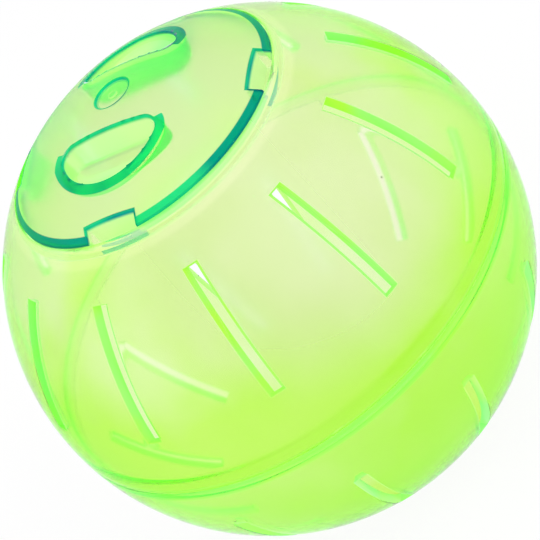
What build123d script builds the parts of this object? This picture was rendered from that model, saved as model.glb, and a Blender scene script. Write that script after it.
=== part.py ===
"""A clear plastic hamster ball: two slotted half shells that push together, and a round lid in the upper one.

The frame's origin is the centre of the ball, +Z runs out through the middle of the lid, and the seam lies in XY.
"""
import os
from math import atan2, cos, degrees, radians, sin, sqrt, tan

from build123d import *

# Shell
ball_radius = 60.0
wall = 1.7

# Doorway and the ledge that the lid sits on
mouth_radius = 33.3
mouth_bevel = 0.25
seat_depth = 2.4
ledge_width = 1.4
ledge_thickness = 0.9
collar_thickness = 0.9

# Seam between the halves
spigot_thickness = 1.0
spigot_depth = 2.5
spigot_offset = 1.5
spigot_rise = 1.5
seam_bevel = 0.25

# Vent slots, measured from the pole of each half
slot_count = 12
slot_phase = 15.0
slot_start = 45.5
slot_arc = 29.5
slot_throat = 1.6
slot_draft = 30.0

# Lid
lid_turn = 54.5
lid_bevel = 0.25
skirt_thickness = 1.4
notch_count = 4
notch_width = 12.2
notch_depth = 3.3
tongue_width = 11.2
tongue_thickness = 0.9
tongue_drop = 4.4
foot_thickness = 1.1
foot_bevel = 0.5

# Finger wells in the lid
well_count = 2
well_chord = 10.4
well_centre = 9.2
well_radius = 12.7
well_corner = 2.8
well_depth = 6.6
well_shallow = 1.2
well_wall = 1.3
well_lip = 0.5

# Recess round the moulding gate, in the middle of the lid
gate_radius = 4.2
gate_depth = 0.8
pip_radius = 1.1
pip_height = 0.4

# Clearances
lid_clearance = 0.3
lap_clearance = 0.3
seat_gap = 0.05

# Places that follow from the sizes above
inner_radius = ball_radius - wall
middle_radius = ball_radius - wall / 2
lid_radius = mouth_radius - lid_clearance
mouth_top = sqrt(ball_radius**2 - mouth_radius**2)
lid_top = sqrt(ball_radius**2 - lid_radius**2)
notch_radius = lid_radius - notch_depth
seat_level = mouth_top - seat_depth
ledge_radius = mouth_radius - ledge_width
skirt_bottom = seat_level + seat_gap
spigot_outer = ball_radius - spigot_offset
spigot_inner = spigot_outer - spigot_thickness
socket_radius = spigot_outer + lap_clearance
socket_depth = spigot_depth + lap_clearance
foot_radius = ledge_radius - lid_clearance
foot_bottom = mouth_top - tongue_drop
tongue_top = sqrt(middle_radius**2 - notch_radius**2)
well_far = well_centre + well_radius
well_bottom = sqrt(ball_radius**2 - well_chord**2) - well_depth
well_brink = sqrt(ball_radius**2 - well_far**2) - well_shallow
well_slope = degrees(atan2(well_brink - well_bottom, well_far - well_chord))
lid_plane = Plane.XY.rotated((0, 0, lid_turn))

os.makedirs("parts", exist_ok=True)

# One vent slot, swept down a meridian so that its width stays the same from end to end
slot_overcut = wall / 4
slot_normal = (cos(radians(slot_start)), 0, -sin(radians(slot_start)))
slot_plane = Plane(origin=(0, 0, 0), x_dir=(0, 1, 0), z_dir=slot_normal)
slot_inside = slot_throat / 2 - slot_overcut * tan(radians(slot_draft))
slot_outside = slot_throat / 2 + (wall + slot_overcut) * tan(radians(slot_draft))
with BuildPart() as slot_cutter:
    with BuildSketch(slot_plane):
        Polygon(
            (-slot_inside, inner_radius - slot_overcut),
            (slot_inside, inner_radius - slot_overcut),
            (slot_outside, ball_radius + slot_overcut),
            (-slot_outside, ball_radius + slot_overcut),
            align=None,
        )
    revolve(axis=Axis.Y, revolution_arc=slot_arc)
with BuildPart() as lower_slot_cutter:
    mirror(slot_cutter.part, about=Plane.XY)

# Half shell with the doorway: a ledge under the mouth and a spigot below the seam
with BuildPart() as door_half:
    with BuildSketch(Plane.XZ):
        Circle(ball_radius)
        Circle(inner_radius, mode=Mode.SUBTRACT)
        with Locations((mouth_radius, 0)):
            Rectangle(ball_radius, ball_radius, align=(Align.MIN, Align.MIN), mode=Mode.INTERSECT)
        with Locations((ledge_radius, seat_level)):
            Rectangle(ledge_width + collar_thickness, ledge_thickness, align=(Align.MIN, Align.MAX))
        with Locations((mouth_radius, seat_level - ledge_thickness)):
            Rectangle(collar_thickness, ledge_thickness + seat_depth / 2, align=(Align.MIN, Align.MIN))
        Polygon(
            (spigot_inner, -spigot_depth),
            (spigot_outer, -spigot_depth),
            (spigot_outer, 0),
            (middle_radius, 0),
            (middle_radius, spigot_rise + middle_radius - spigot_inner),
            (spigot_inner, spigot_rise),
            align=None,
        )
        Polygon(
            (ball_radius - seam_bevel, 0),
            (ball_radius + seam_bevel, 0),
            (ball_radius + seam_bevel, 2 * seam_bevel),
            align=None,
            mode=Mode.SUBTRACT,
        )
        Polygon(
            (mouth_radius - mouth_bevel, mouth_top + mouth_bevel),
            (mouth_radius - mouth_bevel, mouth_top - 2 * mouth_bevel),
            (mouth_radius + mouth_bevel, mouth_top + mouth_bevel),
            align=None,
            mode=Mode.SUBTRACT,
        )
    revolve(axis=Axis.Z)
    with PolarLocations(0, slot_count, start_angle=slot_phase):
        add(slot_cutter.part, mode=Mode.SUBTRACT)
door_half.part.label = "door_half"
export_step(door_half.part, "parts/door_half.step")

# Closed half shell: a socket round the spigot, and the same slots mirrored below the seam
with BuildPart() as plain_half:
    with BuildSketch(Plane.XZ):
        Circle(ball_radius)
        Circle(inner_radius, mode=Mode.SUBTRACT)
        with Locations((0, -seat_gap)):
            Rectangle(ball_radius, ball_radius, align=(Align.MIN, Align.MAX), mode=Mode.INTERSECT)
        Rectangle(socket_radius, socket_depth, align=(Align.MIN, Align.MAX), mode=Mode.SUBTRACT)
        Polygon(
            (ball_radius - seam_bevel, -seat_gap),
            (ball_radius + seam_bevel, -seat_gap),
            (ball_radius + seam_bevel, -seat_gap - 2 * seam_bevel),
            align=None,
            mode=Mode.SUBTRACT,
        )
    revolve(axis=Axis.Z)
    with PolarLocations(0, slot_count, start_angle=slot_phase):
        add(lower_slot_cutter.part, mode=Mode.SUBTRACT)
plain_half.part.label = "plain_half"
export_step(plain_half.part, "parts/plain_half.step")

# Outline of a finger well on the lid's plane, its straight side towards the middle of the lid
with BuildSketch() as well_outline:
    with Locations((well_centre, 0)):
        Circle(well_radius)
    with Locations((well_chord, 0)):
        Rectangle(ball_radius, ball_radius, align=(Align.MIN, Align.CENTER), mode=Mode.INTERSECT)
    fillet(well_outline.vertices(), well_corner)

# Hollow of a finger well, with a floor that rises outwards
well_floor = Plane(lid_plane * Location((well_chord, 0, well_bottom), (0, -well_slope, 0)))
with BuildPart() as well_hollow:
    with BuildSketch(lid_plane.offset(ball_radius)):
        add(well_outline.sketch)
    extrude(amount=-ball_radius / 2)
    split(bisect_by=well_floor, keep=Keep.TOP)

# Cup that the hollow is set in, up to the middle of the lid's wall
with BuildPart() as well_cup:
    with BuildSketch(lid_plane.offset(ball_radius)):
        add(well_outline.sketch)
        offset(amount=well_wall)
    extrude(amount=-ball_radius / 2)
    split(bisect_by=well_floor.offset(-well_wall), keep=Keep.TOP)
    Sphere(middle_radius, mode=Mode.INTERSECT)

# Lid: a dome with a skirt, two wells to grip it by, and notches at the edge with a tongue in each
with BuildPart() as lid:
    with BuildSketch(Plane.XZ):
        Circle(ball_radius)
        Circle(inner_radius, mode=Mode.SUBTRACT)
        Rectangle(lid_radius, ball_radius, align=(Align.MIN, Align.MIN), mode=Mode.INTERSECT)
        with Locations((lid_radius, skirt_bottom)):
            Rectangle(skirt_thickness, lid_top - wall / 2 - skirt_bottom, align=(Align.MAX, Align.MIN))
        Polygon(
            (lid_radius + lid_bevel, lid_top + lid_bevel),
            (lid_radius + lid_bevel, lid_top - 2 * lid_bevel),
            (lid_radius - lid_bevel, lid_top + lid_bevel),
            align=None,
            mode=Mode.SUBTRACT,
        )
    revolve(axis=Axis.Z)
    with PolarLocations(0, well_count):
        add(well_cup.part)
    with PolarLocations(0, well_count):
        add(well_hollow.part, mode=Mode.SUBTRACT)
    hollow_edges = lid.edges(Select.LAST)
    brink_edges = hollow_edges.filter_by(lambda edge: edge.position_at(0.5).length > ball_radius - well_lip / 2)
    fillet(brink_edges, well_lip)
    with BuildSketch(lid_plane):
        with PolarLocations(notch_radius, notch_count):
            Rectangle(ball_radius, notch_width, align=(Align.MIN, Align.CENTER))
    extrude(amount=ball_radius, mode=Mode.SUBTRACT)
    with BuildSketch(lid_plane.offset(foot_bottom)):
        with PolarLocations(notch_radius, notch_count):
            Rectangle(tongue_thickness, tongue_width, align=(Align.MAX, Align.CENTER))
    extrude(amount=tongue_top - foot_bottom)
    with BuildSketch(lid_plane.offset(foot_bottom)):
        with PolarLocations(notch_radius - tongue_thickness, notch_count):
            Rectangle(ball_radius, tongue_width, align=(Align.MIN, Align.CENTER))
        Circle(foot_radius, mode=Mode.INTERSECT)
    extrude(amount=foot_thickness)
    chamfer(lid.edges().group_by(Axis.Z)[0].filter_by(GeomType.CIRCLE), foot_bevel)
    with BuildSketch(lid_plane.offset(ball_radius - gate_depth)):
        Circle(gate_radius)
    extrude(amount=ball_radius, mode=Mode.SUBTRACT)
    with BuildSketch(lid_plane.offset(ball_radius - gate_depth - wall / 4)):
        Circle(pip_radius)
    extrude(amount=pip_height + wall / 4)
lid.part.label = "lid"
export_step(lid.part, "parts/lid.step")
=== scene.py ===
"""Dressed scene for a clear lime hamster ball: two slotted half shells, a domed lid and a white studio.

Everything is in metres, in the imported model's frame: the origin is the ball's centre and +Z runs out through the lid.
"""
from math import acos, asin, atan2, cos, pi, radians, sin, sqrt, tan

import bmesh
import bpy
from bpy.props import FloatProperty, FloatVectorProperty, IntProperty, PointerProperty
from mathutils import Matrix, Vector


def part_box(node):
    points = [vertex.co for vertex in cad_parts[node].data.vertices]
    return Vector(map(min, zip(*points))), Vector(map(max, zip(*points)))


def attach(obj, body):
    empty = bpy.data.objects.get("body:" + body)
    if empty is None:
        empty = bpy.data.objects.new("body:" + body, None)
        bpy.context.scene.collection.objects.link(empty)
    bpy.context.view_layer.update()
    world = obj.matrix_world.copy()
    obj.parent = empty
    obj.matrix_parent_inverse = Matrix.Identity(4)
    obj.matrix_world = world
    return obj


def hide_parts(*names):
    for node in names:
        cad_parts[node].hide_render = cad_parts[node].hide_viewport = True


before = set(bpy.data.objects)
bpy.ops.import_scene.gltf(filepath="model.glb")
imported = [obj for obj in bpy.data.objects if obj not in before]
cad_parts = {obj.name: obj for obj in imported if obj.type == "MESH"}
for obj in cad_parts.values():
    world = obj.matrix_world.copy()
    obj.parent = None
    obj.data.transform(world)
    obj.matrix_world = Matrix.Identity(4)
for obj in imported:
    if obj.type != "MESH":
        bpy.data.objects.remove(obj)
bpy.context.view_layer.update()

bl_info = {
    "name": "Hamster ball",
    "version": (1, 0, 0),
    "blender": (4, 5, 0),
    "location": "3D View > Sidebar > Hamster ball",
    "description": "Models the half shells and the lid of a clear hamster ball, with its studio",
    "category": "Object",
}

MM = 0.001
ORIGIN = (0, 0, 0)
UPWARDS = (0, 0, 1)
WHITE = (1.0, 1.0, 1.0, 1.0)
BLACK = (0.0, 0.0, 0.0)
door_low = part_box("door_half")[0]
plain_low, plain_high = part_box("plain_half")
lid_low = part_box("lid")[0]

# Slack for merging points and for finding them by their place
MERGE_GAP = 0.002 * MM
PLACE_GAP = 10 * MERGE_GAP
LEVEL_GAP = 0.05 * MM

# Angles between faces, from which an edge counts as a slot's lip or a well's brink, or shows as an edge
LIP_ANGLE = radians(25)
BRINK_ANGLE = radians(30)
SMOOTH_ANGLE = radians(32)

# How finely the meshes are divided
SECTOR_COLUMNS = 10
SLOT_ROWS = 20
POLE_ROWS = 30
LID_COLUMNS = 240
BALL_COLUMNS = 160
WELL_STEPS = 36
CORNER_STEPS = 10
FLOOR_STEPS = 4
EDGE_STEPS = 3

# What repeats round the lid
WELL_COUNT = 2
NOTCH_COUNT = 4

# The photograph's frame
FRAME_PIXELS = 540
SENSOR_WIDTH = 36.0


def length(name, default, description):
    """A size in metres, given in millimetres, shown to a hundredth of a millimetre."""
    return FloatProperty(name=name, description=description, default=default * MM, min=0.0, precision=5, unit="LENGTH")


def angle(name, default, description):
    """An angle in radians, given in degrees."""
    return FloatProperty(name=name, description=description, default=radians(default), subtype="ANGLE")


def tint(name, default, description):
    """A colour in linear light."""
    return FloatVectorProperty(name=name, description=description, default=default, size=3, min=0.0, max=1.0,
                               subtype="COLOR")


def fraction(name, default, description):
    """A share from 0 to 1."""
    return FloatProperty(name=name, description=description, default=default, min=0.0, max=1.0, subtype="FACTOR")


def number(name, default, description, **limits):
    """A plain number."""
    return FloatProperty(name=name, description=description, default=default, **limits)


class ShellSizes(bpy.types.PropertyGroup):
    """Sizes of the two half shells."""

    radius: length("Ball radius", -plain_low.z / MM, "Outside radius of the closed ball")
    wall: length("Wall", 1.7, "Thickness of the half shells and the dome of the lid")
    mouth_radius: length("Doorway radius", 33.3, "Radius of the round doorway")
    seat_depth: length("Seat depth", 2.4, "How far the lid's ledge lies below the doorway's edge")
    ledge_width: length("Ledge width", 1.4, "How far the ledge reaches into the doorway")
    ledge_thickness: length("Ledge thickness", 0.9, "Thickness of the ledge")
    collar_thickness: length("Collar thickness", 0.9, "Thickness of the collar behind the doorway's wall")
    spigot_depth: length("Spigot depth", -door_low.z / MM, "How far the spigot reaches into the other half")
    spigot_thickness: length("Spigot thickness", 1.0, "Thickness of the spigot")
    spigot_offset: length("Spigot offset", 1.5, "How far the spigot's outside lies inside the ball's surface")
    spigot_rise: length("Spigot rise", 1.5, "How far the spigot's inside runs up above the seam")
    ramp_lean: angle("Ramp lean", 20.0, "How far the ramp above the spigot's inside leans off the upright")
    lap_clearance: length("Lap clearance", 0.3, "Play between spigot and socket")
    seat_gap: length("Seat gap", -plain_high.z / MM, "Gap between faces that rest on each other")
    edge_round: length("Edge rounding", 0.22, "Rounding of the moulded edges")
    slot_count: IntProperty(name="Slots", description="Vent slots round each half", default=12, min=3)
    slot_start: angle("Slot start", 45.5, "Where a slot starts, measured from the pole of its half")
    slot_end: angle("Slot end", 75.0, "Where a slot ends, measured from the pole of its half")
    slot_inside: length("Slot width inside", 1.6, "Width of a slot at the inner face")
    slot_outside: length("Slot width outside", 3.56, "Width of a slot at the outer face")


class LidSizes(bpy.types.PropertyGroup):
    """Sizes of the lid."""

    radius: length("Lid radius", 33.0, "Radius of the lid's edge")
    turn: angle("Lid turn", 54.5, "Angle at which the lid lies in its seat")
    skirt_thickness: length("Skirt thickness", 1.4, "Thickness of the skirt under the lid's edge")
    skirt_bottom: length("Skirt bottom", 47.56, "Height of the skirt's lower edge")
    notch_width: length("Notch width", 12.2, "Width of the notches in the lid's edge")
    notch_radius: length("Notch radius", 29.7, "Distance of a notch's floor from the lid's middle")
    tongue_width: length("Tongue width", 11.2, "Width of the tongue in each notch")
    tongue_thickness: length("Tongue thickness", 0.9, "Thickness of the tongues")
    foot_radius: length("Foot radius", 31.6, "Distance of a foot's end from the lid's middle")
    foot_thickness: length("Foot thickness", 1.1, "Thickness of the feet")
    foot_bottom: length("Foot bottom", lid_low.z / MM, "Height of the underside of the feet")
    well_chord: length("Well chord", 10.4, "Distance of a well's straight side from the lid's middle")
    well_centre: length("Well centre", 9.2, "Distance of a well's round side's centre from the lid's middle")
    well_radius: length("Well radius", 12.7, "Radius of a well's round side")
    well_corner: length("Well corner", 2.8, "Radius of a well's corners")
    well_depth: length("Well depth", 6.6, "Depth of a well at its straight side")
    well_shallow: length("Well shallow depth", 1.2, "Depth of a well at its round side")
    well_wall: length("Well wall", 1.3, "Thickness of a well's walls and floor")
    well_lip: length("Well lip", 0.5, "Rounding of a well's brink")
    well_floor: length("Well floor rounding", 0.84, "Rounding between a well's floor and its sides")
    gate_radius: length("Gate radius", 4.2, "Radius of the recess round the moulding gate")
    gate_depth: length("Gate depth", 0.8, "Depth of that recess")
    pip_radius: length("Pip radius", 1.1, "Radius of the gate's pip")
    pip_height: length("Pip height", 0.4, "Height of the gate's pip")


class PlasticLooks(bpy.types.PropertyGroup):
    """Colours and finish of the clear plastic."""

    # The pale and deep tints are partly the plastic's own tint and partly painted: the halves are paler towards the top
    # as painted light and deeper towards the bottom as painted shade.
    door_pale: tint("Door half, pale", (1.0, 0.91, 0.97), "Tint of the door half near the doorway")
    door_deep: tint("Door half, deep", (0.79, 1.0, 0.27), "Tint of the door half near the seam")
    plain_pale: tint("Plain half, pale", (0.96, 1.0, 0.80), "Tint of the plain half near the seam")
    plain_deep: tint("Plain half, deep", (0.68, 1.0, 0.14), "Tint of the plain half at its pole")
    lid_pale: tint("Lid, pale", (1.0, 1.0, 1.0), "Tint of the lid's middle")
    lid_deep: tint("Lid, deep", (1.0, 1.0, 0.98), "Tint of the lid near its edge")
    # Painted glare: this tint paints a lamp's soft reflection as a pale patch on the door half's front, and also tints
    # the milky ledge under the doorway.
    milk_and_glare: tint("Bloom", (0.98, 0.82, 0.94), "Tint of the milky patch on the front of the door half")
    inside: tint("Inside", (0.97, 1.0, 0.92), "Tint of the inner faces")
    door_edge: tint("Door half edge", (0.33, 1.0, 0.04), "Colour of the door half's edges and slot walls")
    door_edge_cool: tint("Door half edge, cool", (0.26, 1.0, 0.15), "Second colour of those edges and walls")
    plain_edge: tint("Plain half edge", (0.55, 1.0, 0.22), "Colour of the plain half's edges and slot walls")
    plain_edge_cool: tint("Plain half edge, cool", (0.42, 1.0, 0.34), "Second colour of those edges and walls")
    shell_lap: tint("Shell lap", (0.20, 1.0, 0.15), "Colour of the seam, where the halves lap")
    lid_edge: tint("Lid edge", (0.56, 1.0, 0.28), "Colour of the lid's upright walls")
    lid_edge_cool: tint("Lid edge, cool", (0.32, 1.0, 0.26), "Second colour of those walls")
    # Painted shade: these lid colours paint dark teal and green lines where light is lost in the skirt, the wells'
    # walls, the tongues and the feet.
    lid_shade_line: tint("Lid line", (0.001, 0.46, 0.23), "Colour of the lid's rim and of the wells' brinks")
    lid_shade_line_cool: tint("Lid line, cool", (0.0, 0.135, 0.23), "Second colour of that rim and those brinks")
    # Painted shadow: a near-black line for the shadow in the gap between the lid and the doorway.
    lid_gap_shadow: tint("Lid line, dark", (0.0, 0.05, 0.06), "Colour of the very edge of the lid")
    lid_foot_shade: tint("Lid foot", (0.0, 0.36, 0.44), "Colour of the ends of the feet")
    lid_cup_shade: tint("Lid cup", (0.03, 0.74, 0.10), "Colour of the outer sides of the wells")
    door_depth: tint("Door half depth", (0.70, 1.0, 0.10), "Colour that light takes on along the door half")
    plain_depth: tint("Plain half depth", (0.66, 1.0, 0.0), "Colour that light takes on along the plain half")
    lid_depth: tint("Lid depth", (0.88, 1.0, 0.68), "Colour that light takes on along the lid")
    speck: tint("Speck", (0.05, 0.09, 0.02), "Colour of the specks in the plastic")
    depth_strength: number("Depth strength", 250.0, "How fast the colour in depth builds up, per metre", min=0.0)
    haze_high: fraction("Haze at the doorway", 0.18, "Share of light that the plastic scatters there")
    haze_low: fraction("Haze at the seam", 0.04, "Share of light that the plastic scatters there")
    haze_edge: fraction("Edge haze", 0.5, "Milkiness of the cut edges")
    haze_inside: fraction("Haze inside", 0.04, "Share of light that the inner faces scatter")
    shell_frost: fraction("Shell frost", 0.12, "Most roughness of the half shells")
    lid_frost: fraction("Lid frost", 0.42, "Most roughness of the lid and of the milky patch")
    edge_glow: number("Edge glow", 0.30, "Strength of the light that gathers in the edges", min=0.0)
    refraction: number("Refraction", 1.12, "Index of refraction", min=1.0)
    gloss: fraction("Gloss", 0.3, "Specular level of the surface")


class MarkLooks(bpy.types.PropertyGroup):
    """Sizes and strengths of the marks: light that gathers in the plastic, and painted shade along the lid's rim,
    wells, notches, gate, left tongue and feet, with a painted shadow in the gap at its very edge.
    """

    soft: length("Soft edge", 0.2, "Width of a mark's soft edge on the lid")
    door_line: length("Doorway line", 0.2, "Width of the line round the doorway")
    door_line_soft: length("Doorway line, soft edge", 0.5, "Width of that line's soft edge")
    door_line_share: fraction("Doorway line, strength", 0.4, "Strength of that line")
    mouth_zone: length("Doorway zone", 35.5, "Radius of the zone round the doorway, over the ledge")
    mouth_calm: fraction("Doorway calm", 0.8, "How far the edges in that zone stay clear")
    ledge_share: fraction("Ledge strength", 0.35, "Milkiness of the hidden faces in that zone")
    seam_zone: length("Seam zone", 5.0, "Height of the zone on each side of the seam")
    door_calm: fraction("Door half calm", 0.7, "How far the door half's edges in that zone stay clear")
    plain_calm: fraction("Plain half calm", 0.6, "How far the plain half's edges in that zone stay clear")
    zone_soft: length("Zones, soft edge", 1.0, "Width of the soft edge of both zones")
    lap_start: length("Lap start", 0.3, "Height above the spigot's lower end where the lap is fully green")
    lap_soft: length("Lap, soft edge", 0.8, "Width of the lap's soft edge")
    lap_front: fraction("Lap in front", 0.65, "Strength of the lap in front")
    lap_back: fraction("Lap behind", 0.2, "Strength of the lap behind")
    lap_turn: length("Lap turn", 15.0, "Distance behind the middle over which the lap gets fainter")
    ring_chord: length("Ring, straight side", 0.6, "Width of the ring along a well's straight side")
    ring_round: length("Ring, round side", 2.4, "Width of the ring along a well's round side")
    sill_share: fraction("Sill strength", 0.4, "Strength of the mark under a well's straight side")
    notch_line: length("Notch line", 0.35, "Width of the line round the notches")
    notch_soft: length("Notch line, soft edge", 0.15, "Width of that line's soft edge")
    gate_line: length("Gate line", 0.3, "Width of the line round the gate, on each side")
    foot_end: length("Foot end", 0.6, "Width of the mark on the ends of the feet")
    cup_line: length("Cup line", 0.3, "Width of the mark on the outer sides of the wells, on each side")
    cup_round: fraction("Cup, round side", 0.9, "Strength of that mark on the round sides")
    cup_near: fraction("Cup, near chord", 0.05, "Strength of that mark on the near well's straight side")
    cup_far: fraction("Cup, far chord", 0.8, "Strength of that mark on the far well's straight side")
    chord_calm: fraction("Chord calm", 0.8, "How far the near well's straight side stays clear")
    middle_soft: length("Middle, soft edge", 1.0, "Width of the step from the near to the far well, on each side")
    left_start: length("Left side", 26.0, "Distance from the lid's middle past which a tongue is the left one")
    left_soft: length("Left side, soft edge", 2.0, "Width of the step to the left side")
    tongue_calm: fraction("Tongue calm", 0.85, "How far the other tongues stay clear")
    hook_share: fraction("Hook strength", 0.6, "Strength of the mark on the left tongue")
    # Painted shadow in the gap between the lid and the doorway, at the lid's very edge.
    brim_shadow: length("Brim", 0.1, "Width of the dark line at the very edge of the lid")
    brim_shadow_share: fraction("Brim strength", 0.3, "Strength of that line")


class StudioLooks(bpy.types.PropertyGroup):
    """Camera, floor and light of the studio."""

    elevation: angle("Camera elevation", 34.8, "Height of the camera above the seam's plane")
    roll: angle("Camera roll", -42.0, "Turn of the camera about its line of sight")
    distance: length("Camera distance", 400.2, "Distance of the camera from the ball's centre")
    focal: number("Focal length", 117.55, "Lens on a 36 mm sensor", min=1.0, unit="CAMERA")
    shift_right: number("Shift right", 0.25, "Shift of the frame to the right, in pixels of the photograph")
    shift_up: number("Shift up", -1.22, "Shift of the frame upwards, in pixels of the photograph")
    surround: number("Surround", 0.9, "Strength of the light that comes from all round", min=0.0)
    floor_size: length("Floor size", 4000.0, "Side of the square floor")
    floor_gap: length("Floor gap", 0.2, "Gap between the ball and the floor")
    floor_paint: fraction("Floor paint", 0.9, "Lightness and roughness of the floor")
    floor_white: fraction("Floor white", 0.92, "How far the floor shows plain white, and not its shadow")
    lamp_size: length("Lamp size", 500.0, "Side of the square lamps")
    key_power: number("Key power", 4.0, "Power of the lamp on the right", min=0.0, unit="POWER")
    fill_power: number("Fill power", 1.5, "Power of the lamp on the left", min=0.0, unit="POWER")


# Modelling helpers


def let_go():
    """Back to object mode, with nothing selected."""
    if bpy.context.object is not None and bpy.context.object.mode != "OBJECT":
        bpy.ops.object.mode_set(mode="OBJECT")
    bpy.ops.object.select_all(action="DESELECT")


def take(piece, mode="OBJECT"):
    """Make one object the only selected and active one."""
    let_go()
    piece.select_set(True)
    bpy.context.view_layer.objects.active = piece
    bpy.ops.object.mode_set(mode=mode)


def pick(piece, kind, test):
    """In edit mode, select the vertices, edges or faces that pass the test, and nothing else."""
    bpy.ops.mesh.select_mode(type=kind)
    bpy.ops.mesh.select_all(action="DESELECT")
    mesh = bmesh.from_edit_mesh(piece.data)
    for part in {"VERT": mesh.verts, "EDGE": mesh.edges, "FACE": mesh.faces}[kind]:
        if test(part):
            part.select_set(True)
    mesh.select_flush_mode()
    bmesh.update_edit_mesh(piece.data)


def edge_middle(edge):
    """The point halfway along an edge."""
    return (edge.verts[0].co + edge.verts[1].co) / 2


def polar(point):
    """Angle from +Z of a point, seen from the ball's centre."""
    return acos(max(-1.0, min(1.0, point.z / point.length)))


def draw_outline(name, start, strokes, plane="XZ"):
    """Draw a wire outline from a point, with lines and arcs, and leave it in edit mode.

    A stroke is ("line", a, b), which runs to a point, or ("arc", centre a, centre b, turn, steps), which swings the
    last point about a centre. On XZ a positive turn goes from +Z to +X, and on XY from +X to +Y.
    """
    flat = plane == "XY"
    axis = Vector((0, 0, 1)) if flat else Vector((0, 1, 0))

    def place(a, b):
        return Vector((a, b, 0.0)) if flat else Vector((a, 0.0, b))

    let_go()
    bpy.ops.mesh.primitive_plane_add(size=MM)
    piece = bpy.context.object
    piece.name = name
    piece.data.name = name
    bpy.ops.object.mode_set(mode="EDIT")
    bpy.ops.mesh.select_mode(type="VERT")
    bpy.ops.mesh.select_all(action="SELECT")
    bpy.ops.mesh.merge(type="CENTER")
    here = place(*start)
    bpy.ops.transform.translate(value=here)
    for stroke in strokes:
        if stroke[0] == "line":
            there = place(*stroke[1:])
            bpy.ops.mesh.extrude_vertices_move(TRANSFORM_OT_translate={"value": there - here})
        else:
            centre = place(*stroke[1:3])
            turn, steps = stroke[3:]
            bpy.ops.mesh.spin(steps=steps, angle=-turn, center=centre, axis=axis)
            there = centre + Matrix.Rotation(turn, 3, axis) @ (here - centre)
        here = there
    bpy.ops.mesh.select_all(action="SELECT")
    bpy.ops.mesh.remove_doubles(threshold=MERGE_GAP)
    return piece


def round_corners(piece, corners, radius):
    """Round the named corners of a wire outline on XZ."""
    for a, b in corners:
        pick(piece, "VERT", lambda v: (v.co - Vector((a, 0, b))).length < PLACE_GAP)
        bpy.ops.mesh.bevel(offset=radius, segments=EDGE_STEPS, affect="VERTICES", clamp_overlap=True)


def round_edges(radius, steps=EDGE_STEPS, clamp=True):
    """Round the selected edges."""
    bpy.ops.mesh.bevel(offset=radius, segments=steps, affect="EDGES", clamp_overlap=clamp)


def extrude_upwards(height):
    """Extrude the selected faces along +Z."""
    bpy.ops.mesh.extrude_region_move(TRANSFORM_OT_translate={"value": (0, 0, height)})


def close_mesh():
    """Merge what coincides and turn every face outwards."""
    bpy.ops.mesh.select_mode(type="VERT")
    bpy.ops.mesh.select_all(action="SELECT")
    bpy.ops.mesh.remove_doubles(threshold=MERGE_GAP)
    bpy.ops.mesh.normals_make_consistent(inside=False)


def sweep(turn, columns):
    """Sweep an outline about +Z, in edit mode."""
    bpy.ops.mesh.select_all(action="SELECT")
    bpy.ops.mesh.spin(steps=columns, angle=-turn, center=ORIGIN, axis=UPWARDS)
    close_mesh()


def ring_of(count):
    """Copy a mesh round +Z, in edit mode, so that there are count of it."""
    bpy.ops.mesh.select_all(action="SELECT")
    bpy.ops.mesh.spin(steps=count - 1, dupli=True, angle=2 * pi * (count - 1) / count, center=ORIGIN, axis=UPWARDS)


def combine(piece, tool, operation):
    """Join, cut or keep what two closed meshes share, and delete the tool."""
    take(piece)
    step = piece.modifiers.new(operation.title(), "BOOLEAN")
    step.operation = operation
    step.solver = "EXACT"
    step.object = tool
    bpy.ops.object.modifier_apply(modifier=step.name)
    bpy.data.objects.remove(tool, do_unlink=True)


def turn_piece(piece, turn):
    """Turn a piece about +Z, in its mesh."""
    take(piece)
    piece.rotation_euler.z = turn
    bpy.ops.object.transform_apply(location=False, rotation=True, scale=False)


def finish_piece(piece, material, body, node):
    """Shade a piece, give it its plastic and set it on its body."""
    take(piece)
    bpy.ops.object.shade_smooth_by_angle(angle=SMOOTH_ANGLE)
    piece.data.materials.clear()
    piece.data.materials.append(material)
    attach(piece, body)
    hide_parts(node)


# Half shells


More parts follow.
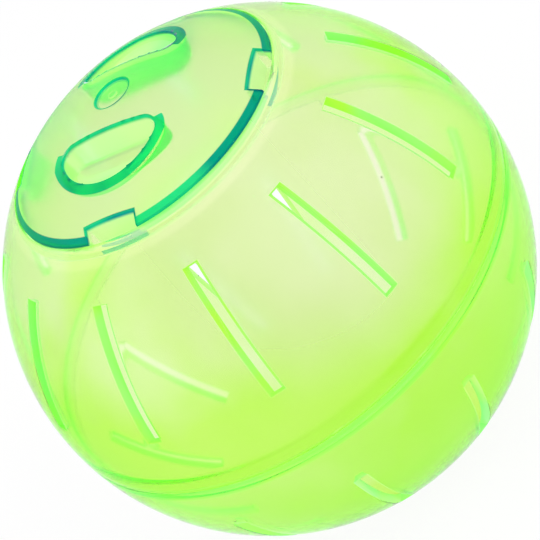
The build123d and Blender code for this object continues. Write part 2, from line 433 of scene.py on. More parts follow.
def cut_slots(piece, sizes, below):
    """Turn half a sector's outline into a slotted shell: sweep it, open half a slot, mirror it and copy it round."""
    sector = pi / sizes.slot_count
    step = sector / SECTOR_COLUMNS
    inner = sizes.radius - sizes.wall
    faces = ((sizes.radius, sizes.slot_outside), (inner, sizes.slot_inside))
    sweep(sector, SECTOR_COLUMNS)

    def spread(point):
        return atan2(point.y, point.x)

    def along_slot(point, slack=0.0):
        from_pole = pi - polar(point) if below else polar(point)
        return sizes.slot_start - slack < from_pole < sizes.slot_end + slack

    def on_level(point, level):
        return abs(point.length - level) < LEVEL_GAP

    def on_wall(point):
        return on_level(point, sizes.radius) or on_level(point, inner)

    def in_slot(face):
        middle = face.calc_center_median()
        return on_wall(middle) and along_slot(middle) and spread(middle) < step

    def on_rim(edge):
        middle = edge_middle(edge)
        return edge.is_boundary and on_wall(middle) and step / 4 < spread(middle) < 1.5 * step

    pick(piece, "FACE", in_slot)
    bpy.ops.mesh.delete(type="FACE")
    pick(piece, "EDGE", on_rim)
    bpy.ops.mesh.bridge_edge_loops()
    for level, width in faces:
        def side_of_slot(vertex):
            slack = step / 100
            return (on_level(vertex.co, level) and along_slot(vertex.co, slack)
                    and abs(spread(vertex.co) - step) < slack)
        pick(piece, "VERT", side_of_slot)
        bpy.ops.transform.resize(value=(1, 0, 1), center_override=(0, width / 2, 0))
    bpy.ops.object.mode_set(mode="OBJECT")
    mirror = piece.modifiers.new("Mirror", "MIRROR")
    mirror.use_axis = (False, True, False)
    mirror.merge_threshold = MERGE_GAP
    bpy.ops.object.modifier_apply(modifier=mirror.name)
    bpy.ops.object.mode_set(mode="EDIT")
    for level, width in faces:
        def lip_of_slot(edge):
            if edge.is_boundary or edge.calc_face_angle(0.0) < LIP_ANGLE:
                return False
            middle = edge_middle(edge)
            return (on_level(middle, level) and along_slot(middle, step / 20)
                    and abs(middle.y) < width / 2 + PLACE_GAP)
        pick(piece, "EDGE", lip_of_slot)
        round_edges(sizes.edge_round)
    ring_of(sizes.slot_count)
    close_mesh()
    turn_piece(piece, sector)


class HAMSTERBALL_OT_door_shell(bpy.types.Operator):
    """Model the half shell with the doorway, its ledge and its spigot"""

    bl_idname = "hamsterball.door_shell"
    bl_label = "Door half"

    def execute(self, context):
        s = context.scene.ball_shell
        outer, inner = s.radius, s.radius - s.wall
        mouth_top = sqrt(outer**2 - s.mouth_radius**2)
        seat = mouth_top - s.seat_depth
        ledge_bottom = seat - s.ledge_thickness
        ledge_edge = s.mouth_radius - s.ledge_width
        collar = s.mouth_radius + s.collar_thickness
        spigot_out = outer - s.spigot_offset
        spigot_in = spigot_out - s.spigot_thickness

        # The ramp is a line from the spigot's inside out to the inner wall, and lean is its slope off the upright
        lean = tan(s.ramp_lean)
        foot = spigot_in - lean * s.spigot_rise
        ramp_top = (sqrt((1 + lean**2) * inner**2 - foot**2) - foot * lean) / (1 + lean**2)
        ramp_out = foot + lean * ramp_top

        start = (s.mouth_radius, mouth_top)
        strokes = [
            ("arc", 0, 0, s.slot_start - asin(s.mouth_radius / outer), 8),
            ("arc", 0, 0, s.slot_end - s.slot_start, SLOT_ROWS),
            ("arc", 0, 0, pi / 2 - s.slot_end, 10),
            ("line", spigot_out, 0.0),
            ("line", spigot_out, -s.spigot_depth),
            ("line", spigot_in, -s.spigot_depth),
            ("line", spigot_in, s.spigot_rise),
            ("line", ramp_out, ramp_top),
            ("arc", 0, 0, s.slot_end - atan2(ramp_out, ramp_top), 9),
            ("arc", 0, 0, s.slot_start - s.slot_end, SLOT_ROWS),
            ("arc", 0, 0, asin(collar / inner) - s.slot_start, 7),
            ("line", collar, ledge_bottom),
            ("line", ledge_edge, ledge_bottom),
            ("line", ledge_edge, seat),
            ("line", s.mouth_radius, seat),
            ("line", *start),
        ]
        corners = [start, (outer, 0.0), (ledge_edge, ledge_bottom), (ledge_edge, seat), (collar, ledge_bottom),
                   (spigot_out, -s.spigot_depth), (spigot_in, -s.spigot_depth)]
        piece = draw_outline("door_shell", start, strokes)
        round_corners(piece, corners, s.edge_round)
        round_corners(piece, [(spigot_in, s.spigot_rise), (ramp_out, ramp_top)], 3 * s.edge_round)
        cut_slots(piece, s, below=False)
        looks = context.scene.ball_looks
        plastic = clear_plastic(
            "clear_lime_door", door_marks,
            tints=(looks.door_deep, looks.door_pale), heights=(0.0, 0.8 * outer),
            hazes=(looks.haze_low, looks.haze_high), edges=(looks.door_edge, looks.door_edge_cool),
            depth=looks.door_depth, frost=looks.shell_frost, milky=1.0)
        finish_piece(piece, plastic, "door_half", "door_half")
        return {"FINISHED"}


class HAMSTERBALL_OT_plain_shell(bpy.types.Operator):
    """Model the closed half shell with its socket"""

    bl_idname = "hamsterball.plain_shell"
    bl_label = "Plain half"

    def execute(self, context):
        s = context.scene.ball_shell
        outer, inner = s.radius, s.radius - s.wall
        socket = outer - s.spigot_offset + s.lap_clearance
        socket_floor = -s.spigot_depth - s.lap_clearance
        top_edge = sqrt(outer**2 - s.seat_gap**2)
        floor_edge = sqrt(inner**2 - socket_floor**2)
        near, far = pi - s.slot_end, pi - s.slot_start
        start = (top_edge, -s.seat_gap)
        strokes = [
            ("arc", 0, 0, near - atan2(top_edge, -s.seat_gap), 10),
            ("arc", 0, 0, far - near, SLOT_ROWS),
            ("arc", 0, 0, pi - far, POLE_ROWS),
            ("line", 0.0, -inner),
            ("arc", 0, 0, far - pi, POLE_ROWS),
            ("arc", 0, 0, near - far, SLOT_ROWS),
            ("arc", 0, 0, atan2(floor_edge, socket_floor) - near, 8),
            ("line", socket, socket_floor),
            ("line", socket, -s.seat_gap),
            ("line", *start),
        ]
        piece = draw_outline("plain_shell", start, strokes)
        pick(piece, "EDGE", lambda e: max(abs(v.co.x) for v in e.verts) < MERGE_GAP)
        bpy.ops.mesh.delete(type="EDGE_FACE")
        round_corners(piece, [start, (socket, -s.seat_gap), (floor_edge, socket_floor)], s.edge_round)
        cut_slots(piece, s, below=True)
        looks = context.scene.ball_looks
        plastic = clear_plastic(
            "clear_lime_plain", plain_marks,
            tints=(looks.plain_deep, looks.plain_pale), heights=(-0.95 * outer, -0.55 * outer),
            hazes=(looks.haze_low, looks.haze_low), edges=(looks.plain_edge, looks.plain_edge_cool),
            depth=looks.plain_depth, frost=looks.shell_frost)
        finish_piece(piece, plastic, "plain_half", "plain_half")
        return {"FINISHED"}


# Lid


def corner_centre(sizes):
    """Where the centre of a well's corner lies, with the lid unturned."""
    x = sizes.well_chord + sizes.well_corner
    y = sqrt((sizes.well_radius - sizes.well_corner) ** 2 - (x - sizes.well_centre) ** 2)
    return x, y


def chord_floor(sizes, ball):
    """Height of a well's floor at its straight side."""
    return sqrt(ball**2 - sizes.well_chord**2) - sizes.well_depth


def well_prism(name, sizes, ball, top, grow, floor_round):
    """Two closed D-shaped blocks under the lid with sloping floors, grown by a wall where they are the cups."""
    corner_x, corner_y = corner_centre(sizes)
    swing = atan2(corner_y, corner_x - sizes.well_centre)
    chord = sizes.well_chord - grow
    strokes = [
        ("line", chord, corner_y),
        ("arc", corner_x, corner_y, swing - pi, CORNER_STEPS),
        ("arc", sizes.well_centre, 0.0, -2 * swing, WELL_STEPS),
        ("arc", corner_x, -corner_y, swing - pi, CORNER_STEPS),
    ]
    piece = draw_outline(name, (chord, -corner_y), strokes, plane="XY")
    bpy.ops.mesh.edge_face_add()
    bpy.ops.transform.translate(value=(0, 0, top))
    extrude_upwards(-top / 2)
    close_mesh()
    far = sizes.well_centre + sizes.well_radius
    deep = chord_floor(sizes, ball)
    brink = sqrt(ball**2 - far**2) - sizes.well_shallow
    slope = atan2(brink - deep, far - sizes.well_chord)
    normal = Vector((-sin(slope), 0, cos(slope)))
    spot = Vector((sizes.well_chord, 0, deep)) - grow * normal
    bpy.ops.mesh.select_all(action="SELECT")
    bpy.ops.mesh.bisect(plane_co=spot, plane_no=normal, use_fill=True, clear_inner=True)
    pick(piece, "EDGE", lambda e: max(abs((v.co - spot).dot(normal)) for v in e.verts) < MERGE_GAP)
    round_edges(floor_round, FLOOR_STEPS)
    ring_of(WELL_COUNT)
    close_mesh()
    bpy.ops.object.mode_set(mode="OBJECT")
    return piece


class HAMSTERBALL_OT_lid_dome(bpy.types.Operator):
    """Model the lid: dome, skirt, finger wells, notches, tongues and gate"""

    bl_idname = "hamsterball.lid_dome"
    bl_label = "Lid"

    def execute(self, context):
        s = context.scene.ball_shell
        d = context.scene.ball_lid
        outer, inner = s.radius, s.radius - s.wall
        middle = outer - s.wall / 2
        edge_top = sqrt(outer**2 - d.radius**2)
        gate_floor = outer - d.gate_depth
        gate_top = sqrt(outer**2 - d.gate_radius**2)
        pip_top = gate_floor + d.pip_height
        skirt_in = d.radius - d.skirt_thickness
        skirt_top = sqrt(inner**2 - skirt_in**2)
        strokes = [
            ("line", d.pip_radius, pip_top),
            ("line", d.pip_radius, gate_floor),
            ("line", d.gate_radius, gate_floor),
            ("line", d.gate_radius, gate_top),
            ("arc", 0, 0, asin(d.radius / outer) - asin(d.gate_radius / outer), 26),
            ("line", d.radius, d.skirt_bottom),
            ("line", skirt_in, d.skirt_bottom),
            ("line", skirt_in, skirt_top),
            ("arc", 0, 0, -asin(skirt_in / inner), 28),
        ]
        corners = [(d.pip_radius, pip_top), (d.gate_radius, gate_floor), (d.gate_radius, gate_top),
                   (d.radius, edge_top), (d.radius, d.skirt_bottom), (skirt_in, d.skirt_bottom)]
        piece = draw_outline("lid_dome", (0.0, pip_top), strokes)
        round_corners(piece, corners, s.edge_round)
        sweep(2 * pi, LID_COLUMNS)

        cups = well_prism("cups", d, outer, outer + s.wall, d.well_wall, d.well_wall)
        let_go()
        bpy.ops.mesh.primitive_uv_sphere_add(segments=BALL_COLUMNS, ring_count=BALL_COLUMNS // 2, radius=middle)
        combine(cups, bpy.context.object, "INTERSECT")
        combine(piece, cups, "UNION")
        combine(piece, well_prism("hollows", d, outer, outer + s.wall, 0.0, d.well_floor), "DIFFERENCE")
        self.round_brinks(piece, outer, d)
        combine(piece, self.notches(d, outer), "DIFFERENCE")
        combine(piece, self.tongues(d, middle, s.edge_round / 2), "UNION")
        take(piece, "EDIT")
        close_mesh()
        turn_piece(piece, d.turn)
        looks = context.scene.ball_looks
        plastic = clear_plastic(
            "clear_lime_lid", lid_shade_marks,
            tints=(looks.lid_deep, looks.lid_pale), heights=(edge_top, outer),
            hazes=(looks.haze_low, looks.haze_low), edges=(looks.lid_edge, looks.lid_edge_cool),
            depth=looks.lid_depth, frost=looks.lid_frost)
        finish_piece(piece, plastic, "lid", "lid")
        return {"FINISHED"}

    @staticmethod
    def round_brinks(piece, outer, d):
        """Round the wells' brinks, where their walls meet the dome."""
        take(piece, "EDIT")
        close_mesh()

        def on_brink(edge):
            if edge.is_boundary or len(edge.link_faces) != 2 or edge.calc_face_angle(0.0) < BRINK_ANGLE:
                return False
            spot = edge_middle(edge)
            reach = Vector((spot.x, spot.y)).length
            return abs(spot.length - outer) < LEVEL_GAP and 2 * d.gate_radius < reach < d.notch_radius

        pick(piece, "EDGE", on_brink)
        round_edges(d.well_lip, clamp=False)

    @staticmethod
    def notches(d, outer):
        """Four blocks that cut the notches."""
        depth = outer / 3
        let_go()
        bpy.ops.mesh.primitive_cube_add(size=1.0)
        blocks = bpy.context.object
        bpy.ops.object.mode_set(mode="EDIT")
        bpy.ops.mesh.select_all(action="SELECT")
        bpy.ops.transform.resize(value=(depth, d.notch_width, outer))
        bpy.ops.transform.translate(value=(d.notch_radius + depth / 2, 0, outer * 0.75))
        ring_of(NOTCH_COUNT)
        bpy.ops.object.mode_set(mode="OBJECT")
        return blocks

    @staticmethod
    def tongues(d, middle, step):
        """Four hanging tongues, a small step behind the notches' walls, each with a foot whose end is round."""
        back = d.notch_radius - d.tongue_thickness
        front = d.notch_radius - step
        half = d.tongue_width / 2
        swing = asin(half / d.foot_radius)
        reach = sqrt(d.foot_radius**2 - half**2)
        foot_top = d.foot_bottom + d.foot_thickness
        tongue_top = sqrt(middle**2 - d.notch_radius**2)
        strokes = [
            ("line", reach, -half),
            ("arc", 0, 0, 2 * swing, CORNER_STEPS),
            ("line", back, half),
            ("line", back, -half),
        ]
        tongues = draw_outline("tongues", (back, -half), strokes, plane="XY")
        bpy.ops.mesh.edge_face_add()
        bpy.ops.mesh.bisect(plane_co=(front, 0, 0), plane_no=(1, 0, 0))
        bpy.ops.mesh.select_all(action="SELECT")
        bpy.ops.transform.translate(value=(0, 0, d.foot_bottom))
        extrude_upwards(d.foot_thickness)

        def blade_foot(face):
            centre = face.calc_center_median()
            return back < centre.x < front and max(abs(v.co.z - foot_top) for v in face.verts) < MERGE_GAP

        pick(tongues, "FACE", blade_foot)
        extrude_upwards(tongue_top - foot_top)
        ring_of(NOTCH_COUNT)
        close_mesh()
        bpy.ops.object.mode_set(mode="OBJECT")
        return tongues


# Shader helpers


def plug(tree, inputs, values):
    """Give a node's inputs a value or a link."""
    for key, value in values.items():
        if isinstance(value, bpy.types.NodeSocket):
            tree.links.new(value, inputs[key])
        else:
            inputs[key].default_value = value


def wire(tree, kind, values, **settings):
    """Add a shader node, with its settings, and give its inputs a value or a link."""
    node = tree.nodes.new("ShaderNode" + kind)
    for key, value in settings.items():
        setattr(node, key, value)
    plug(tree, node.inputs, values)
    return node


def fade(tree, value, start, end, low=0.0, high=1.0):
    """A number that goes smoothly from low to high as the value goes from start to end."""
    limits = {"Value": value, "From Min": start, "From Max": end, "To Min": low, "To Max": high}
    return wire(tree, "MapRange", limits, interpolation_type="SMOOTHSTEP").outputs["Result"]


def above(tree, value, limit, soft, high=1.0):
    """High where a value is past a limit, and 0 where it falls short of it by a soft edge."""
    return fade(tree, value, limit - soft, limit, 0.0, high)


def below(tree, value, limit, soft, high=1.0):
    """High where a value falls short of a limit, and 0 where it is past it by a soft edge."""
    return fade(tree, value, limit + soft, limit, 0.0, high)


def about(tree, value, middle, width, soft):
    """1 where a value lies within a width of a middle, with soft edges."""
    return times(tree, above(tree, value, middle - width, soft), below(tree, value, middle + width, soft))


def reckon(tree, operation, first, second=0.0):
    """The result of a sum on one or two numbers."""
    return wire(tree, "Math", {0: first, 1: second}, operation=operation).outputs[0]


def times(tree, first, *others):
    """The product of several numbers."""
    for other in others:
        first = reckon(tree, "MULTIPLY", first, other)
    return first


def most(tree, first, *others):
    """The largest of several numbers."""
    for other in others:
        first = reckon(tree, "MAXIMUM", first, other)
    return first


def minus(tree, first, second):
    """The difference of two numbers."""
    return reckon(tree, "SUBTRACT", first, second)


def weigh(tree, share, first, second):
    """A number between two numbers."""
    return wire(tree, "Mix", {0: share, 2: first, 3: second}).outputs[0]


def blend(tree, share, first, second):
    """A colour between two colours or sockets."""
    ends = [end if isinstance(end, bpy.types.NodeSocket) else (*end, 1.0) for end in (first, second)]
    return wire(tree, "Mix", {0: share, 6: ends[0], 7: ends[1]}, data_type="RGBA").outputs[2]


def split(tree, vector):
    """The three coordinates of a vector."""
    return wire(tree, "SeparateXYZ", {"Vector": vector}).outputs


def measure(tree, vector):
    """The length of a vector."""
    return wire(tree, "VectorMath", {0: vector}, operation="LENGTH").outputs["Value"]


def direction(tree, vector):
    """A vector at length 1."""
    return wire(tree, "VectorMath", {0: vector}, operation="NORMALIZE").outputs["Vector"]


def dot(tree, first, second):
    """How far two vectors point the same way."""
    return wire(tree, "VectorMath", {0: first, 1: second}, operation="DOT_PRODUCT").outputs["Value"]


def distance(tree, x, y):
    """The length of a vector on XY that is given by its coordinates."""
    return measure(tree, wire(tree, "CombineXYZ", {"X": x, "Y": y}).outputs["Vector"])


def noise(tree, point, scale, detail):
    """Slow clouds, about 0.5."""
    return wire(tree, "TexNoise", {"Vector": point, "Scale": scale, "Detail": detail}).outputs["Fac"]


# Plastic

# Directions on the ball: the middle of the painted glare, the greenest part of the painted shade on the lid's rim, and
# the way the tint pales as painted light
GLARE_WAY = Vector((0.18, -0.68, 0.70)).normalized()
RIM_WAY = (-0.19, -0.98, 0.0)
TINT_WAY = (0.0, 0.2, 1.0)

# How squarely a direction meets those, or a face the ball's surface, from where a look starts to where it is full
GLARE_SPAN = (0.72, 0.96)
RIM_COOL_SPAN = (0.985, 0.93)
EDGE_SPAN = (0.93, 0.75)
GLARE_FROST_SPAN = (0.34, 0.24)

# Clouds: their scale and detail, the part of their range that counts, and how far they shift the tint
CLOUD_GRAIN = (24.0, 3.0)
CLOUD_SPAN = (0.34, 0.66)
CLOUD_SHIFT = (-0.38, 0.32)
FROST_SPAN = (0.3, 0.7)
LEAST_FROST = 0.7
DRIFT_GRAIN = (45.0, 2.0)
DRIFT_SPAN = (0.38, 0.62)
SPECK_SCALE = 75.0
SPECK_SIZE = 0.016

# Which part of the wall, from its outside, still counts as outer and where the inner part starts
OUTER_PART = 0.2
INNER_PART = 0.7

# How far a well's sides turn from straight to round, by the difference of a point's distances to both
ROUND_SPAN = (-0.5 * MM, 1.5 * MM)


def survey(tree):
    """What the plastic and its marks read of a point: its place, how it faces, its part of the wall, and clouds."""
    s = bpy.context.scene.ball_shell
    place = wire(tree, "TexCoord", {}).outputs
    point = place["Object"]
    ray = direction(tree, point)
    flat = wire(tree, "VectorMath", {0: point, 1: (1.0, 1.0, 0.0)}, operation="MULTIPLY").outputs["Vector"]
    outside = fade(tree, measure(tree, point), s.radius - INNER_PART * s.wall, s.radius - OUTER_PART * s.wall)
    return {
        "point": point,
        "ray": ray,
        "flat": flat,
        "reach": measure(tree, flat),
        "height": split(tree, point)["Z"],
        "outside": outside,
        "inside": minus(tree, 1.0, outside),
        "edge": fade(tree, reckon(tree, "ABSOLUTE", dot(tree, ray, place["Normal"])), *EDGE_SPAN),
        "cloud": noise(tree, point, *CLOUD_GRAIN),
        "drift": fade(tree, noise(tree, point, *DRIFT_GRAIN), *DRIFT_SPAN),
    }


def door_marks(tree, at):
    """A bright line along the doorway's edge, and a milky ledge under it."""
    s = bpy.context.scene.ball_shell
    looks = bpy.context.scene.ball_looks
    m = bpy.context.scene.ball_marks
    line = below(tree, at["reach"], s.mouth_radius + m.door_line, m.door_line_soft, m.door_line_share)
    line = times(tree, line, at["outside"])
    ledge = times(tree, below(tree, at["reach"], m.mouth_zone, m.zone_soft, m.ledge_share), at["inside"])
    calm = most(tree, below(tree, at["height"], m.seam_zone, m.zone_soft, m.door_calm),
                below(tree, at["reach"], m.mouth_zone, m.zone_soft, m.mouth_calm))
    colour = blend(tree, at["drift"], looks.door_edge, looks.door_edge_cool)
    # The ledge is milky and takes the tint of the painted glare.
    colour = blend(tree, reckon(tree, "GREATER_THAN", ledge, line), colour, looks.milk_and_glare)
    return most(tree, line, ledge), colour, calm


def plain_marks(tree, at):
    """A green band where the spigot lies behind the wall, fainter at the back."""
    s = bpy.context.scene.ball_shell
    looks = bpy.context.scene.ball_looks
    m = bpy.context.scene.ball_marks
    lap = above(tree, at["height"], m.lap_start - s.spigot_depth, m.lap_soft)
    strength = fade(tree, split(tree, at["point"])["Y"], 0.0, m.lap_turn, m.lap_front, m.lap_back)
    colour = blend(tree, at["drift"], looks.shell_lap, looks.door_edge)
    calm = above(tree, at["height"], -m.seam_zone, m.zone_soft, m.plain_calm)
    return times(tree, lap, strength, at["outside"]), colour, calm


def well_places(tree, along, aside):
    """How far a point lies outside a well's brink, and how near it is to the round side, 1, or the straight side, 0."""
    d = bpy.context.scene.ball_lid
    corner_x, corner_y = corner_centre(d)
    past_round = minus(tree, distance(tree, minus(tree, along, d.well_centre), aside), d.well_radius)
    before = most(tree, minus(tree, corner_x, along), 0.0)
    beside = most(tree, minus(tree, aside, corner_y), 0.0)
    past_chord = minus(tree, distance(tree, before, beside), d.well_corner)
    lean = minus(tree, past_round, minus(tree, d.well_chord, along))
    return most(tree, past_round, past_chord), fade(tree, lean, *ROUND_SPAN)


def lid_shade_marks(tree, at):
    """Painted shade: dark lines along the lid's rim, round its wells, notches and gate, and on its cups, left tongue
    and feet, for light lost in the plastic's walls, with a painted shadow line in the gap at the lid's very edge.
    """
    d = bpy.context.scene.ball_lid
    looks = bpy.context.scene.ball_looks
    m = bpy.context.scene.ball_marks
    reach, height, outside, inside = at["reach"], at["height"], at["outside"], at["inside"]
    turned = wire(tree, "VectorRotate", {"Vector": at["point"], "Angle": -d.turn}, rotation_type="Z_AXIS")
    own = split(tree, turned.outputs["Vector"])
    along = reckon(tree, "ABSOLUTE", own["X"])
    aside = reckon(tree, "ABSOLUTE", own["Y"])

    # Wells, in painted shade: a ring round each brink, a sill under the straight side, and the cup's outer side
    gap, rounded = well_places(tree, along, aside)
    width = fade(tree, rounded, 0.0, 1.0, m.ring_chord, m.ring_round)
    ring = times(tree, below(tree, minus(tree, gap, width), -m.soft / 2, m.soft), above(tree, gap, -m.soft, m.soft))
    under = chord_floor(d, bpy.context.scene.ball_shell.radius) - 2 * m.soft
    sill = times(tree, below(tree, along, d.well_chord, 2 * m.soft),
                 below(tree, height, under, 2 * m.soft, m.sill_share),
                 below(tree, gap, d.well_wall + m.soft, m.soft))
    chord_share = fade(tree, own["X"], -m.middle_soft, m.middle_soft, m.cup_near, m.cup_far)
    cup = times(tree, about(tree, gap, d.well_wall, m.cup_line, m.soft), inside,
                weigh(tree, rounded, chord_share, m.cup_round))
    chord = times(tree, below(tree, gap, d.well_wall + 2 * m.soft, m.soft), minus(tree, 1.0, rounded),
                  fade(tree, own["X"], m.middle_soft, -m.middle_soft, 0.0, m.chord_calm))

    # Notches, with painted shade along their edges: the same four times, so that only the larger and the smaller
    # coordinate count
    out = most(tree, along, aside)
    side = reckon(tree, "MINIMUM", along, aside)
    apart = most(tree, minus(tree, d.notch_radius, out), minus(tree, side, d.notch_width / 2))
    notch = below(tree, apart, m.notch_line, m.notch_soft)

    # Tongues and feet, in painted shade: the left tongue is green, the feet's ends are teal except the left one's, and
    # the other tongues stay clear
    left = above(tree, own["Y"], m.left_start, m.left_soft)
    hang = times(tree, below(tree, apart, d.tongue_thickness + m.soft / 2, m.soft), inside)
    tongue = times(tree, hang, fade(tree, left, 0.0, 1.0, m.tongue_calm, 0.0))
    hook = times(tree, hang, left, m.hook_share)
    foot = times(tree, above(tree, reach, d.foot_radius - m.foot_end, m.soft),
                 below(tree, height, d.foot_bottom + d.foot_thickness + m.soft, m.soft))

    # Rim and gate, in painted shade, with a painted shadow line in the gap at the lid's very edge
    rim = above(tree, reach, d.radius - d.skirt_thickness + m.soft / 2, m.soft)
    # Painted shadow: a dark line in the gap at the lid's very edge.
    brim_shadow = times(tree, above(tree, reach, d.radius - m.brim_shadow, m.brim_shadow, m.brim_shadow_share), outside)
    gate = about(tree, reach, d.gate_radius, m.gate_line, m.gate_line)

    share = most(tree, times(tree, most(tree, ring, notch, gate, rim), outside), foot, sill, cup, hook)
    rim_cool = fade(tree, dot(tree, direction(tree, at["flat"]), RIM_WAY), *RIM_COOL_SPAN)
    colour = blend(tree, weigh(tree, rim, at["drift"], rim_cool), looks.lid_shade_line, looks.lid_shade_line_cool)
    colour = blend(tree, reckon(tree, "GREATER_THAN", most(tree, cup, hook), 0.0), colour, looks.lid_cup_shade)
    colour = blend(tree, brim_shadow, colour, looks.lid_gap_shadow)
    colour = blend(tree, foot, colour, blend(tree, left, looks.lid_foot_shade, looks.lid_cup_shade))
    return share, colour, most(tree, tongue, chord)


def clear_plastic(name, marks, tints, heights, hazes, edges, depth, frost, milky=0.0):
    """Clear moulded plastic, with a cloudy tint that pales upwards as painted light and deepens downwards as painted
    shade, a painted glare on the door half's front, milky inner faces, green edges and marks, some of them painted
    shade, specks and colour in depth.

    The tints and the hazes go with the two heights, from the deep end to the pale one. The marks are a function that
    gives their share, their colour, and a share by which the edges stay clear.
    """
    looks = bpy.context.scene.ball_looks
    material = bpy.data.materials.new(name)
    material.use_nodes = True
    tree = material.node_tree
    at = survey(tree)
    outside = at["outside"]

    # Tint, paler upwards as painted light and deeper downwards as painted shade, with a painted glare on the front
    span = {"Value": dot(tree, at["point"], TINT_WAY), "From Min": heights[0], "From Max": heights[1]}
    rise = wire(tree, "MapRange", span).outputs["Result"]
    shift = fade(tree, at["cloud"], *CLOUD_SPAN, *CLOUD_SHIFT)
    level = wire(tree, "Math", {0: rise, 1: shift}, operation="ADD", use_clamp=True).outputs[0]
    # Painted glare: a pale, frosted patch round a fixed direction on the front stands in for a lamp's soft reflection.
    milk_and_glare = times(tree, fade(tree, dot(tree, at["ray"], GLARE_WAY), *GLARE_SPAN, 0.0, milky), outside)
    colour = blend(tree, outside, looks.inside, blend(tree, level, *tints))
    colour = blend(tree, milk_and_glare, colour, looks.milk_and_glare)

    # Edges and marks, which glow a little, and specks
    share, mark_colour, calm = marks(tree, at)
    edge = times(tree, at["edge"], minus(tree, 1.0, calm))
    edge_colour = blend(tree, at["drift"], *edges)
    glow = blend(tree, share, blend(tree, edge, BLACK, edge_colour), mark_colour)
    colour = blend(tree, share, blend(tree, edge, colour, edge_colour), mark_colour)
    cells = wire(tree, "TexVoronoi", {"Vector": at["point"], "Scale": SPECK_SCALE}).outputs["Distance"]
    colour = blend(tree, reckon(tree, "LESS_THAN", cells, SPECK_SIZE), colour, looks.speck)

    # How clear and how frosted
    clear = fade(tree, level, 0.0, 1.0, 1.0 - hazes[0], 1.0 - hazes[1])
    clear = weigh(tree, outside, 1.0 - looks.haze_inside, clear)
    clear = times(tree, clear, fade(tree, edge, 0.0, 1.0, 1.0, 1.0 - looks.haze_edge))
    sideways = reckon(tree, "ABSOLUTE", split(tree, at["ray"])["X"])
    glare_frost = times(tree, milk_and_glare, fade(tree, sideways, *GLARE_FROST_SPAN, 0.0, looks.lid_frost))
    rough = most(tree, fade(tree, at["cloud"], *FROST_SPAN, LEAST_FROST * frost, frost), glare_frost)

    plug(tree, tree.nodes["Principled BSDF"].inputs, {
        "Base Color": colour,
        "Emission Color": glow,
        "Emission Strength": looks.edge_glow,
        "Transmission Weight": clear,
        "Roughness": rough,
        "IOR": looks.refraction,
        "Specular IOR Level": looks.gloss,
    })
    absorption = wire(tree, "VolumeAbsorption", {"Color": (*depth, 1.0), "Density": looks.depth_strength})
    plug(tree, tree.nodes["Material Output"].inputs, {"Volume": absorption.outputs["Volume"]})
    return material


# Studio


def seen_rays(tree):
    """1 for rays that show a surface: from the camera, from a reflection or through the plastic."""
    path = wire(tree, "LightPath", {}).outputs
    return most(tree, path["Is Camera Ray"], path["Is Glossy Ray"], path["Is Transmission Ray"])


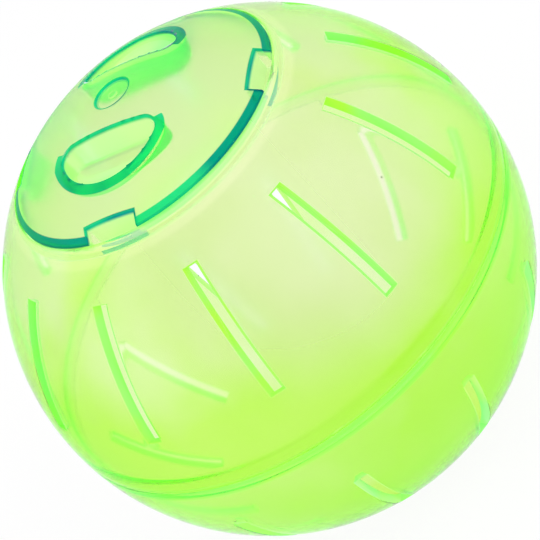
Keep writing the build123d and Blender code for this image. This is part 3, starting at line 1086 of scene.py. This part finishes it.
class HAMSTERBALL_OT_studio(bpy.types.Operator):
    """Set up the floor, the light and the camera"""

    bl_idname = "hamsterball.studio"
    bl_label = "Studio"

    def execute(self, context):
        scene = context.scene
        looks = scene.ball_studio
        scene.view_settings.view_transform = "Standard"
        scene.cycles.max_bounces = 24
        scene.cycles.diffuse_bounces = 6
        scene.cycles.glossy_bounces = 16
        scene.cycles.transmission_bounces = 24
        self.surround(scene, looks)
        self.floor(looks)
        self.lamps(looks)
        self.camera(scene, looks)
        return {"FINISHED"}

    @staticmethod
    def surround(scene, looks):
        """A white world that lights the ball a little less than it shows."""
        world = bpy.data.worlds.new("studio")
        world.use_nodes = True
        tree = world.node_tree
        light = tree.nodes["Background"]
        plug(tree, light.inputs, {"Color": WHITE, "Strength": looks.surround})
        seen = wire(tree, "Background", {"Color": WHITE, "Strength": 1.0})
        both = {"Fac": seen_rays(tree), 1: light.outputs["Background"], 2: seen.outputs["Background"]}
        mix = wire(tree, "MixShader", both)
        plug(tree, tree.nodes["World Output"].inputs, {"Surface": mix.outputs["Shader"]})
        scene.world = world

    @staticmethod
    def floor(looks):
        """A white floor that keeps a faint shadow."""
        let_go()
        bpy.ops.mesh.primitive_plane_add(size=looks.floor_size, location=(0, 0, plain_low.z - looks.floor_gap))
        floor = bpy.context.object
        floor.name = "floor"
        material = bpy.data.materials.new("white_floor")
        material.use_nodes = True
        tree = material.node_tree
        paint = tree.nodes["Principled BSDF"]
        grey = looks.floor_paint
        plug(tree, paint.inputs, {"Base Color": (grey, grey, grey, 1.0), "Roughness": grey})
        glow = wire(tree, "Emission", {"Strength": 1.0})
        part = times(tree, seen_rays(tree), looks.floor_white)
        mix = wire(tree, "MixShader", {"Fac": part, 1: paint.outputs["BSDF"], 2: glow.outputs["Emission"]})
        plug(tree, tree.nodes["Material Output"].inputs, {"Surface": mix.outputs["Shader"]})
        floor.data.materials.append(material)

    @staticmethod
    def lamps(looks):
        """Two soft lamps that aim at the ball and aren't seen in it."""
        places = (("key", (0.50, -0.56, 0.66), looks.key_power), ("fill", (-0.6, -0.3, 0.35), looks.fill_power))
        for name, spot, power in places:
            let_go()
            bpy.ops.object.light_add(type="AREA", location=spot)
            lamp = bpy.context.object
            lamp.name = name
            lamp.data.size = looks.lamp_size
            lamp.data.energy = power
            lamp.visible_glossy = False
            lamp.visible_transmission = False
            lamp.rotation_euler = Vector(spot).to_track_quat("Z", "Y").to_euler()

    @staticmethod
    def camera(scene, looks):
        """A camera at the photograph's viewing angle."""
        let_go()
        bpy.ops.object.camera_add()
        camera = bpy.context.object
        camera.name = "camera"
        away = Vector((0, -cos(looks.elevation), sin(looks.elevation)))
        level = Vector((1, 0, 0))
        upright = away.cross(level)
        right = cos(looks.roll) * level + sin(looks.roll) * upright
        up = -sin(looks.roll) * level + cos(looks.roll) * upright
        turn = Matrix((right, up, away)).transposed().to_4x4()
        camera.matrix_world = Matrix.Translation(away * looks.distance) @ turn
        camera.data.lens = looks.focal
        camera.data.sensor_width = SENSOR_WIDTH
        camera.data.shift_x = looks.shift_right / FRAME_PIXELS
        camera.data.shift_y = looks.shift_up / FRAME_PIXELS
        scene.camera = camera


class HAMSTERBALL_PT_panel(bpy.types.Panel):
    """Buttons for each piece and the studio"""

    bl_label = "Hamster ball"
    bl_idname = "HAMSTERBALL_PT_panel"
    bl_space_type = "VIEW_3D"
    bl_region_type = "UI"
    bl_category = "Hamster ball"

    def draw(self, context):
        for operator in OPERATORS:
            self.layout.operator(operator.bl_idname)


OPERATORS = (HAMSTERBALL_OT_door_shell, HAMSTERBALL_OT_plain_shell, HAMSTERBALL_OT_lid_dome, HAMSTERBALL_OT_studio)
SETTINGS = (("ball_shell", ShellSizes), ("ball_lid", LidSizes), ("ball_looks", PlasticLooks), ("ball_marks", MarkLooks),
            ("ball_studio", StudioLooks))


def register():
    for name, group in SETTINGS:
        bpy.utils.register_class(group)
        setattr(bpy.types.Scene, name, PointerProperty(type=group))
    for operator in OPERATORS:
        bpy.utils.register_class(operator)
    bpy.utils.register_class(HAMSTERBALL_PT_panel)


def unregister():
    bpy.utils.unregister_class(HAMSTERBALL_PT_panel)
    for operator in reversed(OPERATORS):
        bpy.utils.unregister_class(operator)
    for name, group in reversed(SETTINGS):
        delattr(bpy.types.Scene, name)
        bpy.utils.unregister_class(group)


def main():
    register()
    bpy.ops.hamsterball.door_shell()
    bpy.ops.hamsterball.plain_shell()
    bpy.ops.hamsterball.lid_dome()
    bpy.ops.hamsterball.studio()


if __name__ == "__main__":
    main()
